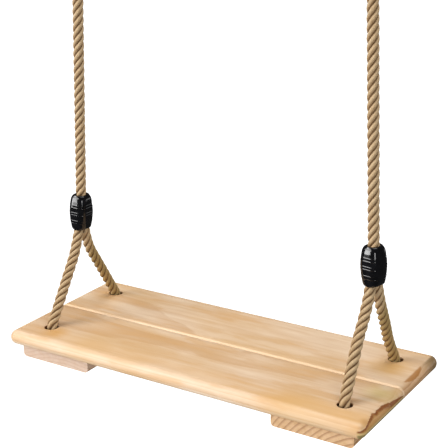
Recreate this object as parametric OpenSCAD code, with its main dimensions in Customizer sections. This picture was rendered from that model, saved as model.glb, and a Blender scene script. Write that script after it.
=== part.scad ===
// Two-plank wooden swing seat on a pair of ropes.
// Each rope splits into a bridle that threads the seat, held by a two-shell clamp,
// and ends above in an eye on a steel ring, closed by the same kind of clamp.
// X runs along the seat, Y from the front edge to the back, Z up.
// The origin is midway between the two rings, where their hooks would bear.

/* [Seat] */
// Length of the seat
seat_length = 457; // [420:1:520]
// Width of one plank, front to back
plank_width = 97.7; // [90:0.1:110]
// Thickness of a plank
plank_thickness = 17.5; // [16:0.5:20]
// Gap between the two planks
plank_gap = 0.6; // [0.2:0.1:2]
// Radius of the eased edges along the seam
seam_radius = 3; // [1:0.5:4]

/* [Battens] */
// Width of a cross batten, along the seat
batten_width = 95; // [90:1:100]
// Thickness of a cross batten
batten_thickness = 15; // [15:0.5:18]
// Distance from the seat's end to the batten
batten_end_inset = 14; // [10:1:18]
// Distance from the seat's long edge to the batten's end
batten_side_inset = 10; // [9:1:18]
// Radius of the batten's lower long edges
batten_edge_radius = 4.5; // [1:0.5:6]

/* [Holes] */
// Distance between the left and right rope holes
hole_spacing_x = 383; // [375:1:387]
// Distance between the front and rear rope holes
hole_spacing_y = 126; // [126:1:126]
// Diameter of a rope hole
hole_diameter = 16.4; // [15.6:0.2:18]

/* [Rope] */
// Diameter of the rope's solid, just under its nominal 12
rope_diameter = 11.8; // [11:0.1:12]
// Lean of the ropes towards each other, in degrees
lean_angle = 2.25; // [0:0.05:2.5]
// Height above the seat where the lean begins
lean_start = 80; // [0:5:100]

/* [Clamps] */
// Side of the clamp's rounded square section
clamp_width = 23.3; // [23:0.1:24]
// Height of a clamp
clamp_height = 42.4; // [42.4:0.1:42.4]
// Corner radius of the clamp's section
clamp_corner = 6.5; // [5:0.5:7.5]
// Height of the right lower clamp's top above the seat
lower_clamp_top = 151; // [151:1:151]
// How much lower the left lower clamp sits
left_clamp_drop = 3.9; // [0:0.1:4.5]
// Height of the upper clamp's bottom above the seat
upper_clamp_bottom = 410; // [350:5:600]
// Depth of a groove between two ribs
rib_depth = 0.6; // [0.2:0.1:0.8]
// Turn of the right lower clamp round its rope, clockwise from above, in degrees
right_clamp_turn = 14.5; // [0:0.5:20]

/* [Rings] */
// Diameter of a ring's round bar
ring_bar = 8; // [6:0.5:8]
// Inner diameter of a ring
ring_hole = 44; // [40:1:60]

/* [Hidden] */
$fn = 64;
left = -1;
right = 1;
slack = 1;                                   // how far a cutting tool runs past a face

// Heights, from the rings down to the seat
ring_radius = (ring_hole + ring_bar) / 2;
bar_z = -ring_hole - ring_bar / 2;           // middle of the bar that carries the eye
eye_length = 32.6;                           // from the clamp's mouth up to that bar
upper_clamp_z = bar_z - eye_length - clamp_height / 2;
seat_z = bar_z - eye_length - clamp_height - upper_clamp_bottom;
lower_clamp_z = seat_z + lower_clamp_top - clamp_height / 2;
batten_z = seat_z - plank_thickness - batten_thickness;

// Places along and across the seat
seat_width = 2 * plank_width + plank_gap;
edge_radius = plank_thickness / 2;
hole_x = hole_spacing_x / 2;
hole_y = hole_spacing_y / 2;
batten_x = seat_length / 2 - batten_end_inset - batten_width / 2;
batten_length = seat_width - 2 * batten_side_inset;
corner_radius = 6;

// Rope joints: the rope's solids stop this far short of each place where the rope flexes
rope_r = rope_diameter / 2;
flex_above_clamp = 36;                       // from the lower clamp's mouth up to the sideways flex
mouth_gap = 3;
flex_gap = 1;
upper_mouth_gap = 2;

// Channel under a batten that takes the bridle
channel_r = 6.5;
channel_z = seat_z - 26.2;
turn_radius = 12.2;                          // from the turn's centre to the rope's centreline
turn_y = 49.8;

// Clamp
parting = 60;                                // size of the block that parts the shells
mouth_r = rope_r + 0.3;
slot_r = 5.1;
slot_y = 4.95;
slot_height = 28.9;                          // two ropes lie side by side over this height
clamp_screw_x = 8.6;
clamp_screw_z = 10;
clamp_screw_r = 1.25;
clamp_head_r = 2.3;
clamp_head_y = 7.4;                          // outer face of a screw's head
clamp_head_depth = 2;
rib_pitch = 9.3;
rib_gap = 4.2;                               // between the two grooves of a pair
rib_groove = 0.9;

// Batten screws
screw_r = 2;
screw_head_r = 4;
screw_head_depth = 2.4;
screw_length = 26;
screw_clearance = 0.05;
screw_places = [[135, -49], [135, 49], [174, -49], [174, 49]];

// Height above the seat where a bridle's legs have come back into line from a turned clamp
legs_in_line = 40;

// The bridle's centreline as [distance from the seat's middle line, height, radius] rows.
// A leg below the clamp's lower mouth, as heights from that mouth
leg_top = [
    [5.2, 0, 4.9], [6.3, -4, 5.7], [7.7, -10.5, rope_r], [11, -20, rope_r], [15.2, -30, rope_r]
];
// The leg's end through its hole and under the batten, as heights above the seat
leg_end = [
    [61.9, 1.5, rope_r], [62, -5, rope_r], [62, -14, rope_r], [61, -18.7, rope_r],
    [58.4, -22.6, rope_r], [54.5, -25.3, rope_r], [49.8, -26.2, rope_r], [25, -26.2, rope_r]
];
leg_shares = [0.32, 0.62, 0.92];             // places along the straight stretch between the two
// Inside the lower clamp, as heights from its top: down to the front leg, and the rear leg's tail
lead_route = [
    [0, -10.5, rope_r], [-0.4, -14.5, 5], [-2.4, -19.5, 4.9], [-4.9, -24.5, 4.8], [-4.9, -32.5, 4.8]
];
tail_route = [[4.9, -32.5, 4.8], [4.9, -28, 4.8]];

// The eye's centreline, as [distance from the bar, height above the bar, radius]
eye_route = [
    [5.2, -32.6, 4.9], [6.3, -28.6, 5.7], [7.6, -22, rope_r], [9.2, -14, rope_r], [10.4, -6, rope_r],
    [10.6, 0, rope_r], [9.8, 4.1, rope_r], [7.5, 7.5, rope_r], [4.1, 9.8, rope_r]
];
// Inside the upper clamp, from its lower mouth up to the front of the eye
eye_lead_route = [
    [0, -75, rope_r], [0, -64.5, rope_r], [-0.4, -60.5, 5], [-2.4, -55.5, 4.9],
    [-4.9, -50.5, 4.8], [-4.9, -42.5, 4.8]
];
// Inside the upper clamp, from the rear of the eye down to the tail's end
eye_tail_route = [[4.9, -42.5, 4.8], [4.9, -47, 4.8]];

wood = [0.86, 0.70, 0.48];
batten_wood = [0.83, 0.68, 0.50];
rope_tan = [0.72, 0.60, 0.42];
black_plastic = [0.06, 0.06, 0.065];
zinc = [0.72, 0.73, 0.75];

// ---- Helpers ----

// Where the rope stands at a height: its legs rise straight up, and then it leans inwards
function lean_x(z) = hole_x - tan(lean_angle) * max(z - seat_z - lean_start, 0);
// How much of its clamp's turn the bridle has at a height above the seat
function turn_share(height) =
    min(max((height - legs_in_line) / (lower_clamp_top - clamp_height - legs_in_line), 0), 1);
function clamp_turn(side) = side == right ? right_clamp_turn : 0;
function clamp_drop(side) = side == left ? left_clamp_drop : 0;
function raised(list, height) = [for (p = list) [p[0], p[1] + height, p[2]]];
function reversed(list) = [for (i = [len(list) - 1:-1:0]) list[i]];
function other_way(list) = [for (p = list) [-p[0], p[1], p[2]]];

// Puts its children on the left or the right rope, at a height, tilted with the rope
module on_rope(side, z) {
    mirror([side == left ? 1 : 0, 0, 0])
        translate([lean_x(z), 0, z])
            rotate([0, -lean_angle, 0])
                children();
}

// A tube swept along a route of [y, z, radius] rows on one of the ropes, turned with its clamp
module rope_tube(side, route, base_z, turn = 0, sides = 10) {
    centres = [
        for (p = route)
            let (a = turn * turn_share(p[1]))
            [side * lean_x(base_z + p[1]) + p[0] * sin(a), p[0] * cos(a), base_z + p[1]]
    ];
    last = len(centres) - 1;
    points = [
        for (i = [0:last])
            let (
                along = centres[min(i + 1, last)] - centres[max(i - 1, 0)],
                out = [1, 0, 0],
                across = cross(along, out) / norm(cross(along, out))
            )
            for (k = [0:sides - 1])
                centres[i] + route[i][2] * (cos(360 * k / sides) * out + sin(360 * k / sides) * across)
    ];
    faces = concat(
        [[for (k = [0:sides - 1]) k]],
        [
            for (i = [0:last - 1], k = [0:sides - 1])
                let (a = i * sides, next = (k + 1) % sides)
                [a + k, a + sides + k, a + sides + next, a + next]
        ],
        [[for (k = [sides - 1:-1:0]) last * sides + k]]
    );
    polyhedron(points, faces, convexity = 6);
}

// ---- Seat ----

// Section of a plank across the seat: half round at the outer edge, eased at the seam
module plank_section() {
    translate([-edge_radius, 0])
        circle(edge_radius);
    translate([-plank_width + seam_radius, -edge_radius])
        square([plank_width - seam_radius - edge_radius, plank_thickness]);
    translate([-plank_width, seam_radius - edge_radius])
        square([plank_width - edge_radius, plank_thickness - 2 * seam_radius]);
    for (s = [-1, 1])
        translate([-plank_width + seam_radius, s * (edge_radius - seam_radius)])
            circle(seam_radius);
}

// Section of a plank along the seat: half round at both ends
module lengthwise_section() {
    square([seat_length - plank_thickness, plank_thickness], center = true);
    for (s = [-1, 1])
        translate([s * (seat_length / 2 - edge_radius), 0])
            circle(edge_radius);
}

module rope_holes() {
    for (x = [-hole_x, hole_x], y = [-hole_y, hole_y])
        translate([x, y, batten_z - slack])
            cylinder(d = hole_diameter, h = seat_z - batten_z + 2 * slack);
}

// One plank, its outer edge towards -Y for the front plank and +Y for the rear one
module plank(towards) {
    difference() {
        intersection() {
            translate([0, towards * seat_width / 2, seat_z - edge_radius])
                rotate([90, 0, 90])
                    linear_extrude(seat_length, center = true)
                        mirror([towards < 0 ? 1 : 0, 0])
                            plank_section();
            translate([0, towards * seat_width / 4, seat_z - edge_radius])
                rotate([90, 0, 0])
                    linear_extrude(seat_width, center = true)
                        lengthwise_section();
            translate([0, towards * seat_width / 2, 0])
                plank_plan(towards);
        }
        rope_holes();
        for (side = [left, right])
            batten_screw_holes(side);
    }
}

// Plan of a plank with its two outer corners rounded, as a tall block
module plank_plan(towards) {
    straight = seat_length - 2 * corner_radius;
    translate([0, 0, seat_z - 2 * plank_thickness])
        linear_extrude(3 * plank_thickness) {
            translate([-straight / 2, towards > 0 ? -seat_width : 0])
                square([straight, seat_width]);
            translate([-seat_length / 2, towards > 0 ? -seat_width : corner_radius])
                square([seat_length, seat_width - corner_radius]);
            for (s = [-1, 1])
                translate([s * straight / 2, -towards * corner_radius])
                    circle(corner_radius);
        }
}

module front_plank() {
    color(wood)
        plank(-1);
}

module rear_plank() {
    color(wood)
        plank(1);
}

// ---- Battens ----

module batten_section() {
    flat = batten_width - 2 * batten_edge_radius;
    translate([-flat / 2, 0])
        square([flat, batten_thickness]);
    translate([-batten_width / 2, batten_edge_radius])
        square([batten_width, batten_thickness - batten_edge_radius]);
    for (s = [-1, 1])
        translate([s * flat / 2, batten_edge_radius])
            circle(batten_edge_radius);
}

// Channel in the underside that lets the bridle turn in from its holes and cross the batten
module bridle_channel() {
    translate([hole_x, turn_y, channel_z])
        rotate([90, 0, 0])
            cylinder(r = channel_r, h = 2 * turn_y);
    translate([hole_x - channel_r, -hole_y, batten_z - slack])
        cube([2 * channel_r, 2 * hole_y, channel_z - batten_z + slack]);
    for (s = [-1, 1])
        translate([hole_x, s * turn_y, channel_z + turn_radius])
            rotate([0, 90, 0])
                rotate([0, 0, s > 0 ? 0 : -90])
                    rotate_extrude(angle = 90)
                        translate([turn_radius, 0])
                            circle(channel_r);
}

module batten(side) {
    mirror([side == left ? 1 : 0, 0, 0])
        difference() {
            translate([batten_x, 0, batten_z])
                rotate([90, 0, 0])
                    linear_extrude(batten_length, center = true)
                        batten_section();
            rope_holes();
            bridle_channel();
            batten_screw_holes(right);
        }
}

module left_batten() {
    color(batten_wood)
        batten(left);
}

module right_batten() {
    color(batten_wood)
        batten(right);
}

// ---- Batten screws ----

// A countersunk wood screw, head down, its head's face at z = 0
module wood_screw(extra = 0) {
    tip = 4;
    cylinder(r1 = screw_head_r + extra, r2 = screw_r + extra, h = screw_head_depth);
    cylinder(r = screw_r + extra, h = screw_length - tip);
    translate([0, 0, screw_length - tip])
        cylinder(r1 = screw_r + extra, r2 = 0.3, h = tip + extra);
}

module cross_recess(size, depth) {
    arm = size / 4;
    for (turn = [0, 90])
        rotate([0, 0, turn])
            translate([-size / 2, -arm / 2, -slack])
                cube([size, arm, depth + slack]);
}

module batten_screw_holes(side) {
    for (place = screw_places)
        translate([side * place[0], place[1], batten_z])
            wood_screw(screw_clearance);
}

module batten_screws(side) {
    for (place = screw_places)
        translate([side * place[0], place[1], batten_z])
            difference() {
                wood_screw();
                cross_recess(screw_head_r, 1.4);
            }
}

module left_batten_screws() {
    color(zinc)
        batten_screws(left);
}

module right_batten_screws() {
    color(zinc)
        batten_screws(right);
}

// ---- Bridles ----

// One leg of a bridle, from its clamp's lower mouth to the middle of the batten
function leg(side) =
    let (
        top = raised(leg_top, lower_clamp_top - clamp_drop(side) - clamp_height),
        from = top[len(top) - 1],
        straight = [for (share = leg_shares) from + share * (leg_end[0] - from)]
    )
    concat(top, straight, leg_end);

module bridle(side) {
    clamp_top = lower_clamp_top - clamp_drop(side);
    route = concat(
        [[0, lower_clamp_top, rope_r]],
        raised(lead_route, clamp_top),
        other_way(leg(side)),
        [[0, -26.2, rope_r]],
        reversed(leg(side)),
        raised(tail_route, clamp_top)
    );
    rope_tube(side, route, seat_z, clamp_turn(side));
}

module left_bridle_rope() {
    color(rope_tan)
        bridle(left);
}

module right_bridle_rope() {
    color(rope_tan)
        bridle(right);
}

// ---- Clamps ----

module rounded_square(side, radius) {
    straight = side - 2 * radius;
    square([side, straight], center = true);
    square([straight, side], center = true);
    for (x = [-1, 1], y = [-1, 1])
        translate([x * straight / 2, y * straight / 2])
            circle(radius);
}

// Half of the barrel's outline: it swells to the middle and is chamfered at both ends
module barrel_outline() {
    full = clamp_width * 0.634;
    polygon([
        [0, -clamp_height / 2], [9.3, -clamp_height / 2], [12.2, -17], [13.7, -11.4], [full, -3],
        [full, 3], [13.7, 11.4], [12.4, 18], [9.7, clamp_height / 2], [0, clamp_height / 2]
    ]);
}

// Thin grooves round the clamp, in pairs that leave a rib between them
module rib_grooves() {
    for (pair = [-1:1], edge = [-1, 1])
        translate([0, 0, pair * rib_pitch - 1.4 + edge * rib_gap / 2 - rib_groove / 2])
            linear_extrude(rib_groove)
                difference() {
                    square(2 * clamp_width, center = true);
                    rounded_square(clamp_width - 2 * rib_depth, clamp_corner - rib_depth);
                }
}

// The space inside: one rope at the top mouth, two side by side at the bottom one
module clamp_cavity() {
    bottom = -clamp_height / 2 - slack;
    height = slot_height + slack;
    translate([0, 0, bottom + height - 3])
        cylinder(r = mouth_r, h = clamp_height);
    for (s = [-1, 1])
        translate([0, s * slot_y, bottom])
            cylinder(r = slot_r, h = height);
    translate([-slot_r, -slot_y, bottom])
        cube([2 * slot_r, 2 * slot_y, height]);
}

module clamp_screw_holes() {
    for (x = [-1, 1], z = [-1, 1])
        translate([x * clamp_screw_x, 0, z * clamp_screw_z])
            rotate([-90, 0, 0]) {
                translate([0, 0, -6.5])
                    cylinder(r = clamp_screw_r + screw_clearance, h = 14);
                translate([0, 0, clamp_head_y - clamp_head_depth])
                    cylinder(r = clamp_head_r + screw_clearance, h = clamp_width);
            }
}

module clamp_body() {
    difference() {
        intersection() {
            linear_extrude(clamp_height, center = true)
                rounded_square(clamp_width, clamp_corner);
            rotate_extrude()
                barrel_outline();
        }
        rib_grooves();
        clamp_cavity();
        clamp_screw_holes();
    }
}

// One shell of a clamp about the clamp's middle, on the -Y side or the +Y side
module clamp_shell(towards) {
    intersection() {
        clamp_body();
        translate([-parting / 2, towards < 0 ? -parting : 0, -parting / 2])
            cube(parting);
    }
}

module clamp_screws() {
    for (x = [-1, 1], z = [-1, 1])
        translate([x * clamp_screw_x, 0, z * clamp_screw_z])
            rotate([-90, 0, 0])
                difference() {
                    union() {
                        translate([0, 0, -6])
                            cylinder(r = clamp_screw_r, h = 6 + clamp_head_y - slack);
                        translate([0, 0, clamp_head_y - clamp_head_depth])
                            cylinder(r = clamp_head_r, h = clamp_head_depth);
                    }
                    translate([0, 0, clamp_head_y])
                        mirror([0, 0, 1])
                            cross_recess(2.6, 1);
                }
}

// A lower clamp has its single mouth on top
module on_lower_clamp(side) {
    on_rope(side, lower_clamp_z - clamp_drop(side))
        rotate([0, 0, -clamp_turn(side)])
            children();
}

// An upper clamp stands the other way up, with its single mouth below
module on_upper_clamp(side) {
    on_rope(side, upper_clamp_z)
        mirror([0, 0, 1])
            children();
}

module left_clamp_front_shell() {
    color(black_plastic)
        on_lower_clamp(left)
            clamp_shell(-1);
}

module left_clamp_rear_shell() {
    color(black_plastic)
        on_lower_clamp(left)
            clamp_shell(1);
}

module left_clamp_screws() {
    color(zinc)
        on_lower_clamp(left)
            clamp_screws();
}

module right_clamp_front_shell() {
    color(black_plastic)
        on_lower_clamp(right)
            clamp_shell(-1);
}

module right_clamp_rear_shell() {
    color(black_plastic)
        on_lower_clamp(right)
            clamp_shell(1);
}

module right_clamp_screws() {
    color(zinc)
        on_lower_clamp(right)
            clamp_screws();
}

module left_upper_clamp_front_shell() {
    color(black_plastic)
        on_upper_clamp(left)
            clamp_shell(-1);
}

module left_upper_clamp_rear_shell() {
    color(black_plastic)
        on_upper_clamp(left)
            clamp_shell(1);
}

module left_upper_clamp_screws() {
    color(zinc)
        on_upper_clamp(left)
            clamp_screws();
}

module right_upper_clamp_front_shell() {
    color(black_plastic)
        on_upper_clamp(right)
            clamp_shell(-1);
}

module right_upper_clamp_rear_shell() {
    color(black_plastic)
        on_upper_clamp(right)
            clamp_shell(1);
}

module right_upper_clamp_screws() {
    color(zinc)
        on_upper_clamp(right)
            clamp_screws();
}

// ---- Ropes ----

// A straight stretch of a rope between two heights
module rope_stretch(side, low, high) {
    on_rope(side, low)
        cylinder(d = rope_diameter, h = (high - low) / cos(lean_angle));
}

// The short stretch that flexes just above a lower clamp
module rope_bend(side) {
    mouth = seat_z + lower_clamp_top;
    rope_stretch(side, mouth + mouth_gap, mouth + flex_above_clamp - flex_gap);
}

// The long stretch, up to the upper clamp
module main_rope(side) {
    mouth = seat_z + lower_clamp_top;
    rope_stretch(side, mouth + flex_above_clamp + flex_gap, seat_z + upper_clamp_bottom - upper_mouth_gap);
}

module left_rope_bend() {
    color(rope_tan)
        rope_bend(left);
}

module right_rope_bend() {
    color(rope_tan)
        rope_bend(right);
}

module left_rope() {
    color(rope_tan)
        main_rope(left);
}

module right_rope() {
    color(rope_tan)
        main_rope(right);
}

// ---- Eyes and rings ----

module rope_eye(side) {
    route = concat(
        eye_lead_route,
        other_way(eye_route),
        [[0, 10.6, rope_r]],
        reversed(eye_route),
        eye_tail_route
    );
    rope_tube(side, route, bar_z);
}

module left_rope_eye() {
    color(rope_tan)
        rope_eye(left);
}

module right_rope_eye() {
    color(rope_tan)
        rope_eye(right);
}

// A welded ring that hangs from its top and carries the eye on its lowest point
module ring(side) {
    translate([side * lean_x(bar_z), 0, bar_z + ring_radius])
        rotate([90, 0, 0])
            rotate_extrude()
                translate([ring_radius, 0])
                    circle(d = ring_bar);
}

module left_ring() {
    color(zinc)
        ring(left);
}

module right_ring() {
    color(zinc)
        ring(right);
}

front_plank();
rear_plank();
left_batten();
right_batten();
left_batten_screws();
right_batten_screws();
left_bridle_rope();
right_bridle_rope();
left_clamp_front_shell();
left_clamp_rear_shell();
left_clamp_screws();
right_clamp_front_shell();
right_clamp_rear_shell();
right_clamp_screws();
left_rope_bend();
right_rope_bend();
left_rope();
right_rope();
left_upper_clamp_front_shell();
left_upper_clamp_rear_shell();
left_upper_clamp_screws();
right_upper_clamp_front_shell();
right_upper_clamp_rear_shell();
right_upper_clamp_screws();
left_rope_eye();
right_rope_eye();
left_ring();
right_ring();
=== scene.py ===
"""Looks of the two-plank rope swing seat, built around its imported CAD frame."""

import math

import bmesh
import bpy
import numpy as np
from mathutils import Matrix, Vector, geometry, noise


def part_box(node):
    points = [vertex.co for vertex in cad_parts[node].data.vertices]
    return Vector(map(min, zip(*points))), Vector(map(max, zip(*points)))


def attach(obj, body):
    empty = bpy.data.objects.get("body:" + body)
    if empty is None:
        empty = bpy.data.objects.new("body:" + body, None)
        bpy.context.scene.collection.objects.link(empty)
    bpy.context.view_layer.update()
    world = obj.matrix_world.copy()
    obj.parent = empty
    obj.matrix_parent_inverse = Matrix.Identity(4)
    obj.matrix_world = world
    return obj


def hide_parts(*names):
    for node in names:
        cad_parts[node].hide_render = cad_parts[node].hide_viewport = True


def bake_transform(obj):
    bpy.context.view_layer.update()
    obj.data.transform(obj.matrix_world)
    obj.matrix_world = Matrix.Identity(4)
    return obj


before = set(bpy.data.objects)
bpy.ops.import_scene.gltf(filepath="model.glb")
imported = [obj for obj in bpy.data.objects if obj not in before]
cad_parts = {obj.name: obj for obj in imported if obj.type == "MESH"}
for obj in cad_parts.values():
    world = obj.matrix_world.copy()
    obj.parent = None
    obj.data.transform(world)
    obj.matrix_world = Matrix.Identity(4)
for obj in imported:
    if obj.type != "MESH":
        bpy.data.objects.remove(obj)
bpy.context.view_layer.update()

LEFT, RIGHT = -1, 1
SIDES = {LEFT: "left", RIGHT: "right"}

# ---- Places that the frame gives ----

front_low, front_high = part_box("front_plank")
rear_low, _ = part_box("rear_plank")
SEAT_TOP = front_high.z
HALF_LENGTH = front_high.x
PLANK_WIDTH = front_high.y - front_low.y
PLANK_THICKNESS = SEAT_TOP - front_low.z

# ---- Driving dimensions of the CAD model, in metres ----

HOLE_X = 0.1915
HOLE_Y = 0.063
HOLE_RADIUS = 0.0082
SEAM_RADIUS = 0.003
# Each rope leans in, from a height above the seat that its legs reach upright
LEAN = math.tan(math.radians(2.25))
LEAN_START = 0.080
BAR_Z = -0.048
CLAMP_HALF_HEIGHT = 0.0212
CLAMP_HALF_WIDTH = 0.01165
CLAMP_CORNER = 0.0067
# The top of a lower clamp above the seat, and how much lower and how far turned each one is
CLAMP_TOP = 0.151
CLAMP_DROP = {LEFT: 0.0039, RIGHT: 0.0}
CLAMP_TURN = {LEFT: 0.0, RIGHT: math.radians(14.5)}
UPPER_CLAMP_Z = -0.1018
# The height above the seat where the legs have come back into line from a turned clamp
LEGS_IN_LINE = 0.040
RING_RADIUS = 0.026
RING_BAR = 0.004

# The ropes' centrelines, as (distance from the seat's middle line, height, share of thickness).
# A leg of the bridle below its clamp's lower mouth, as heights from that mouth
LEG_TOP = [
    (0.0052, 0.0, 0.83), (0.0063, -0.004, 0.97), (0.0077, -0.0105, 1), (0.011, -0.020, 1),
    (0.0152, -0.030, 1),
]
# The leg's end through its hole and under the batten, as heights above the seat
LEG_END = [
    (0.0614, 0.0015, 1), (0.0616, -0.005, 1), (0.062, -0.014, 1), (0.061, -0.0187, 1),
    (0.0584, -0.0226, 1), (0.0545, -0.0253, 1), (0.0498, -0.0262, 1), (0.025, -0.0262, 1),
]
UNDER_SEAT = [(0.0, -0.0262, 1)]
# How far the right front leg bows towards the seat's middle, at heights above the seat, and the
# rear leg's share of that
LEG_BOW = (
    (-0.024, -0.014, 0.0015, 0.035, 0.070, 0.105),
    (0.0, -0.0010, -0.0013, -0.0028, -0.0016, 0.0),
)
REAR_LEG_BOW = 0.7
# Inside the lower clamp, as heights from its top
LEAD_ROUTE = [
    (0.0, -0.0105, 0.97), (-0.0004, -0.0145, 0.85), (-0.0024, -0.0195, 0.83),
    (-0.0049, -0.0245, 0.81), (-0.0049, -0.0325, 0.81),
]
TAIL_ROUTE = [(0.0049, -0.0325, 0.81), (0.0049, -0.028, 0.81)]
# The eye round the ring and the rope inside the upper clamp, as heights above the ring's bar
EYE_ROUTE = [
    (0.0052, -0.0326, 0.83), (0.0063, -0.0286, 0.97), (0.0076, -0.022, 1), (0.0092, -0.014, 1),
    (0.0104, -0.006, 1), (0.0106, 0.0, 1), (0.0098, 0.0041, 1), (0.0075, 0.0075, 1),
    (0.0041, 0.0098, 1),
]
OVER_BAR = [(0.0, 0.0106, 1)]
EYE_LEAD_ROUTE = [
    (0.0, -0.075, 0.97), (0.0, -0.0645, 0.97), (-0.0004, -0.0605, 0.85), (-0.0024, -0.0555, 0.83),
    (-0.0049, -0.0505, 0.81), (-0.0049, -0.0425, 0.81),
]
EYE_TAIL_ROUTE = [(0.0049, -0.0425, 0.81), (0.0049, -0.047, 0.81)]

# Points on each straight length between the two clamps
STRAIGHT_HEIGHTS = (-0.15, -0.18, -0.22, -0.26, -0.30, -0.34, -0.36)
# Heights where one piece of rope hands over to the next
ROPE_TOP = -0.118
ROPE_MIDDLE = -0.285
ROPE_FOOT = -0.366


# ---- Camera ----

CAMERA_PLACE = (0.6472, -1.0191, 0.0095)
SENSOR_WIDTH = 36
LENS = 92.99
AZIMUTH, DROP, ROLL = 32.025, 18.366, -0.457


def make_camera():
    """The photograph's viewing angle: round from the front, tipped down and rolled a little."""
    data = bpy.data.cameras.new("camera")
    data.sensor_width = SENSOR_WIDTH
    data.lens = LENS
    camera = bpy.data.objects.new("camera", data)
    turned = Matrix.Rotation(math.radians(AZIMUTH), 4, "Z")
    tipped = Matrix.Rotation(math.radians(90 - DROP), 4, "X")
    rolled = Matrix.Rotation(math.radians(ROLL), 4, "Z")
    camera.matrix_world = Matrix.Translation(CAMERA_PLACE) @ turned @ tipped @ rolled
    bpy.context.scene.collection.objects.link(camera)
    bpy.context.scene.camera = camera


# ---- Mesh helpers ----

# Edges that turn more than this many degrees look sharp
ROPE_SHARP, PLANK_SHARP, CLAMP_SHARP = 75, 32, 34


def new_object(name, mesh):
    """An object with this mesh, in the scene."""
    made = bpy.data.objects.new(name, mesh)
    bpy.context.scene.collection.objects.link(made)
    return made


def mesh_from(name, points, faces):
    """A smooth mesh from lists of points and faces."""
    mesh = bpy.data.meshes.new(name)
    mesh.from_pydata([tuple(p) for p in points], [], faces)
    mesh.validate()
    mesh.update()
    mesh.shade_smooth()
    return mesh


def sharpen(mesh, degrees):
    """Shades the mesh smooth, apart from the edges that turn more than this."""
    mesh.shade_smooth()
    mesh.set_sharp_from_angle(angle=math.radians(degrees))


def mesh_of(work, name, degrees=None):
    """The mesh that was built in work, with its sharp edges marked if an angle is given."""
    mesh = bpy.data.meshes.new(name)
    work.to_mesh(mesh)
    work.free()
    if degrees is not None:
        sharpen(mesh, degrees)
    return mesh


def place(piece, body, slot, *nodes):
    """Rides the piece on its body, in place of its CAD nodes."""
    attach(piece, body)
    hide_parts(*nodes)


def lean_x(z):
    """How far out the rope stands at a height: its legs rise straight, and then it leans in."""
    return HOLE_X - LEAN * max(z - SEAT_TOP - LEAN_START, 0)


# ---- Ropes ----

# The length of a strand's whole turn, and the rope's steps along it and between a route's rows
LAY = 0.0382
STRANDS = 4
ROPE_RADIUS = 0.0063
ROPE_STEP = 0.0008
CURVE_STEPS = 24
# Where a strand's centre lies, as a share of the rope's radius, and the points across a strand
LOBE_CENTRE = 0.50
LOBE_POINTS = 12
# How much the strands' thickness varies
STRAND_SLACK = 0.02
# Steps by which a straight length starts lower, so that the right one's free top clears its clamp
TOP_ROOM = {LEFT: 0, RIGHT: 4}


def rope_rows(side, route, base_z, turn=0.0):
    """A route's rows as (x, y, z, radius), turned with the clamp towards the clamp's mouth."""
    rows = []
    mouth = CLAMP_TOP - 2 * CLAMP_HALF_HEIGHT
    for across, up, share in route:
        turned = (up - LEGS_IN_LINE) / (mouth - LEGS_IN_LINE)
        angle = turn * min(max(turned, 0), 1)
        x = side * lean_x(base_z + up) + across * math.sin(angle)
        if side == RIGHT and base_z == SEAT_TOP:
            x += np.interp(up, *LEG_BOW) * (1.0 if across < 0 else REAR_LEG_BOW)
        rows.append((x, across * math.cos(angle), base_z + up, share * ROPE_RADIUS))
    return rows


def other_way(route):
    """The route mirrored to the other side of the seat's middle line."""
    return [(-across, up, share) for across, up, share in route]


def raised(route, height):
    """The route moved up by a height."""
    return [(across, up + height, share) for across, up, share in route]


def bridle_route(side):
    """From above the lower clamp down the front leg, under the seat and up to the tail."""
    clamp_top = CLAMP_TOP - CLAMP_DROP[side]
    leg = raised(LEG_TOP, clamp_top - 2 * CLAMP_HALF_HEIGHT)
    start, stop = np.array(leg[-1]), np.array(LEG_END[0])
    leg += [tuple(start + share * (stop - start)) for share in (0.32, 0.62, 0.92)] + LEG_END
    route = [(0.0, CLAMP_TOP, 1)] + raised(LEAD_ROUTE, clamp_top) + other_way(leg)
    return route + UNDER_SEAT + leg[::-1] + raised(TAIL_ROUTE, clamp_top)


def whole_rope(side):
    """The rope of one side from its tail in the upper clamp to its tail in the lower one."""
    eye = EYE_TAIL_ROUTE[::-1] + EYE_ROUTE + OVER_BAR
    eye += other_way(EYE_ROUTE)[::-1] + EYE_LEAD_ROUTE[::-1]
    straight = [(side * lean_x(z), 0.0, z, ROPE_RADIUS) for z in STRAIGHT_HEIGHTS]
    rows = rope_rows(side, eye, BAR_Z) + straight
    return rows + rope_rows(side, bridle_route(side), SEAT_TOP, CLAMP_TURN[side])


def smoothed(rows):
    """Even steps along a centripetal Catmull-Rom curve through the rows."""
    rows = np.array(rows)
    ends = np.vstack([2 * rows[0] - rows[1], rows, 2 * rows[-1] - rows[-2]])
    fine = []
    for p0, p1, p2, p3 in zip(ends, ends[1:], ends[2:], ends[3:]):
        pairs = ((p0, p1), (p1, p2), (p2, p3))
        a, b, c = (math.sqrt(np.linalg.norm((q - p)[:3])) for p, q in pairs)
        out = b * ((p1 - p0) / a - (p2 - p0) / (a + b) + (p2 - p1) / b)
        into = b * ((p2 - p1) / b - (p3 - p1) / (b + c) + (p3 - p2) / c)
        t = np.linspace(0, 1, CURVE_STEPS, endpoint=False)[:, None]
        fine.append(
            (2 * t**3 - 3 * t**2 + 1) * p1 + (t**3 - 2 * t**2 + t) * out
            + (3 * t**2 - 2 * t**3) * p2 + (t**3 - t**2) * into
        )
    fine = np.vstack(fine + [rows[-1:]])
    along = np.append(0, np.cumsum(np.linalg.norm(np.diff(fine[:, :3], axis=0), axis=1)))
    steps = np.linspace(0, along[-1], round(along[-1] / ROPE_STEP) + 1)
    return steps, np.column_stack([np.interp(steps, along, fine[:, k]) for k in range(4)])


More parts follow.
